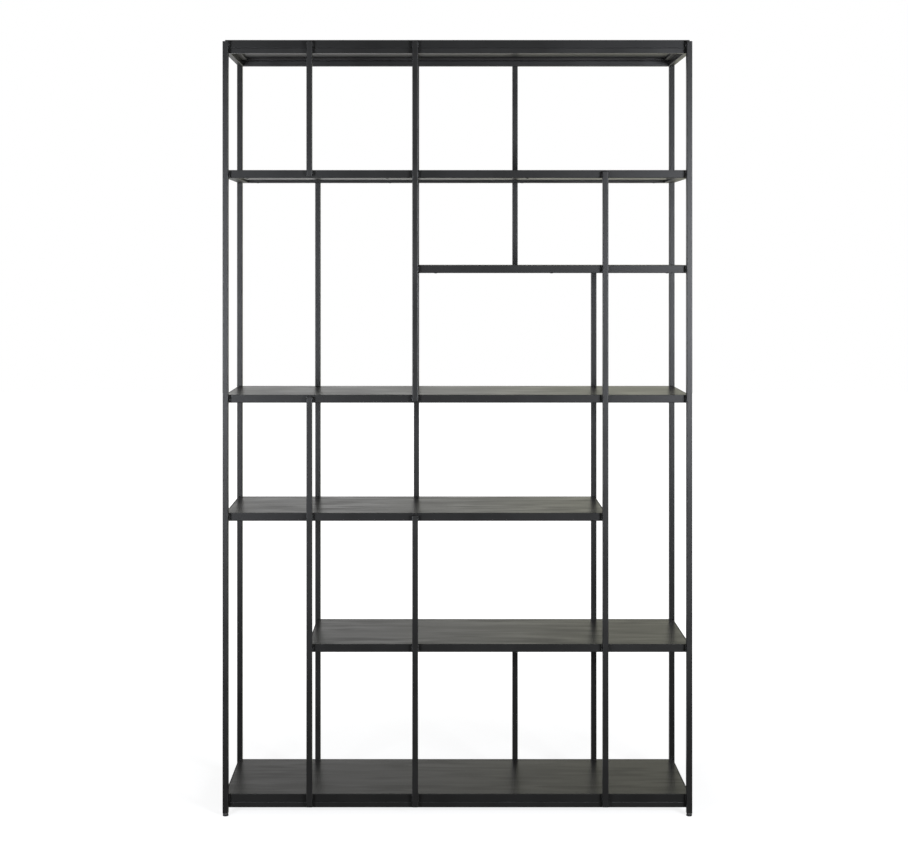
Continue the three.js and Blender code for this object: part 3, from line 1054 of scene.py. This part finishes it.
def studio_world(stage):
    """White to the camera. To the bookcase it is bright behind and dim ahead, by direction.

    The light behind fades upwards and a little downwards, and is warmer to the right. From
    steeply above comes an even, weaker light.
    """
    world = bpy.data.worlds.new("Studio")
    bpy.context.scene.world = world
    world.use_nodes = True
    tree = world.node_tree
    tree.nodes.clear()
    way = add_node(tree, "ShaderNodeTexCoord").outputs["Generated"]
    parts = add_node(tree, "ShaderNodeSeparateXYZ", {0: way}).outputs
    back = spread(tree, parts[1], -0.15, 0.75)
    above = spread(tree, parts[2], 0.05, 0.46, 1.0, 0.10)
    below = spread(tree, parts[2], -0.50, 0.0, 0.55, 1.0)
    level = math_node(tree, "MULTIPLY", above, below)
    rightward = spread(tree, parts[0], -0.06, 0.12)
    behind = blend_colour(tree, rightward, opaque(stage.behind), opaque(stage.behind_right))
    lit = blend_colour(tree, level, (0.0, 0.0, 0.0, 1.0), behind)
    around = blend_colour(tree, back, opaque(stage.ahead), lit)
    upward = spread(tree, parts[2], 0.44, 0.85)
    colour = blend_colour(tree, upward, around, opaque(stage.overhead))
    light = add_node(tree, "ShaderNodeBackground", {0: colour}).outputs[0]
    white = add_node(tree, "ShaderNodeBackground", {0: (1.0, 1.0, 1.0, 1.0)}).outputs[0]
    seen = add_node(tree, "ShaderNodeLightPath").outputs["Is Camera Ray"]
    mixed = add_node(tree, "ShaderNodeMixShader", {0: seen, 1: light, 2: white}).outputs[0]
    add_node(tree, "ShaderNodeOutputWorld", {0: mixed})


def studio_floor():
    """A pale floor that takes soft shadows near the feet and fades to white further out."""
    corners = [(x * FLOOR_REACH, y * FLOOR_REACH, 0)
               for x, y in ((-1, -1), (1, -1), (1, 1), (-1, 1))]
    mesh = bpy.data.meshes.new("studio_floor")
    mesh.from_pydata(corners, [], [(0, 1, 2, 3)])
    material = bpy.data.materials.new("Pale floor")
    material.use_nodes = True
    tree = material.node_tree
    tree.nodes.clear()
    place = add_node(tree, "ShaderNodeTexCoord").outputs["Object"]
    flat = vector_node(tree, "MULTIPLY", place, (0.75, 1.0, 0.0))
    distance = add_node(tree, "ShaderNodeVectorMath", {0: flat}, operation="LENGTH")
    faded = spread(tree, distance.outputs["Value"], 0.5, 1.7, 0.65, 1.0)
    dull, pale = (0.86, 0.86, 0.855, 1.0), (0.90, 0.90, 0.90, 1.0)
    paint = blend_colour(tree, noise(tree, place, 3.0, 3.0), dull, pale)
    matt = add_node(tree, "ShaderNodeBsdfDiffuse", {"Color": paint}).outputs[0]
    white = {"Color": (1.0, 1.0, 1.0, 1.0), "Strength": 1.25}
    glow = add_node(tree, "ShaderNodeEmission", white).outputs[0]
    mixed = add_node(tree, "ShaderNodeMixShader", {0: faded, 1: matt, 2: glow}).outputs[0]
    add_node(tree, "ShaderNodeOutputMaterial", {0: mixed})
    mesh.materials.append(material)
    floor = bpy.data.objects.new("studio_floor", mesh)
    bpy.context.scene.collection.objects.link(floor)
    floor.visible_glossy = False
    floor.visible_diffuse = False


class BOOKCASE_OT_stage(bpy.types.Operator):
    """Make the pale floor, the soft lamps and the camera"""

    bl_idname = "bookcase.stage"
    bl_label = "Studio"

    def execute(self, context):
        scene = context.scene
        stage = scene.bookcase_stage
        scene.view_settings.view_transform = "Standard"
        studio_world(stage)
        studio_floor()
        front = CAD_BOX[0][1]
        target = (0.0, front, AIM_HEIGHT)
        sides = side_lamps(stage, target)
        flagged = side_lamps(stage, target, "_flagged", stage.far_share)
        panel = soft_box("front_panel", (0.0, front - PANEL_AHEAD, PANEL_HEIGHT), target, *PANEL,
                         stage.panel_power, (1.0, 1.0, 1.0))
        boards = [bpy.data.objects[f"shelf_{shelf}_board_stained"] for shelf in SHELVES]
        far_posts = [bpy.data.objects[f"post_{name}_tube"] for name in FAR_POSTS]
        link_light(sides, boards + far_posts, "EXCLUDE")
        link_light(flagged, far_posts, "INCLUDE")
        link_light((panel,), boards, "INCLUDE")
        camera = bpy.data.cameras.new("camera")
        camera.sensor_fit = "HORIZONTAL"
        camera.lens = stage.lens
        camera.shift_x, camera.shift_y = stage.shift_x, stage.shift_y
        thing = bpy.data.objects.new("camera", camera)
        scene.collection.objects.link(thing)
        thing.location = (stage.camera_x, front - stage.camera_distance, stage.camera_height)
        thing.rotation_euler = (math.pi / 2, 0.0, 0.0)
        scene.camera = thing
        return {"FINISHED"}


# ---------------- sidebar and registration
SETTINGS = {"bookcase_steel": SteelSettings, "bookcase_wood": WoodSettings,
            "bookcase_foot": FootSettings, "bookcase_stage": StageSettings}
OPERATORS = (BOOKCASE_OT_posts, BOOKCASE_OT_rails, BOOKCASE_OT_trays, BOOKCASE_OT_boards,
             BOOKCASE_OT_screws, BOOKCASE_OT_welds, BOOKCASE_OT_feet, BOOKCASE_OT_stage)


class BOOKCASE_PT_sidebar(bpy.types.Panel):
    """Lists the settings and the operators"""

    bl_idname = "BOOKCASE_PT_sidebar"
    bl_label = "Bookcase"
    bl_space_type = "VIEW_3D"
    bl_region_type = "UI"
    bl_category = "Bookcase"

    def draw(self, context):
        for name, settings in SETTINGS.items():
            box = self.layout.box()
            for key in settings.__annotations__:
                box.prop(getattr(context.scene, name), key)
        for operator in OPERATORS:
            self.layout.operator(operator.bl_idname)


def register():
    for item in (*SETTINGS.values(), *OPERATORS, BOOKCASE_PT_sidebar):
        bpy.utils.register_class(item)
    for name, settings in SETTINGS.items():
        setattr(bpy.types.Scene, name, PointerProperty(type=settings))


def unregister():
    for name in SETTINGS:
        delattr(bpy.types.Scene, name)
    for item in (BOOKCASE_PT_sidebar, *reversed(OPERATORS), *SETTINGS.values()):
        bpy.utils.unregister_class(item)


def main():
    """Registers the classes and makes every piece."""
    register()
    for operator in OPERATORS:
        group, name = operator.bl_idname.split(".")
        getattr(getattr(bpy.ops, group), name)()


if __name__ == "__main__":
    main()
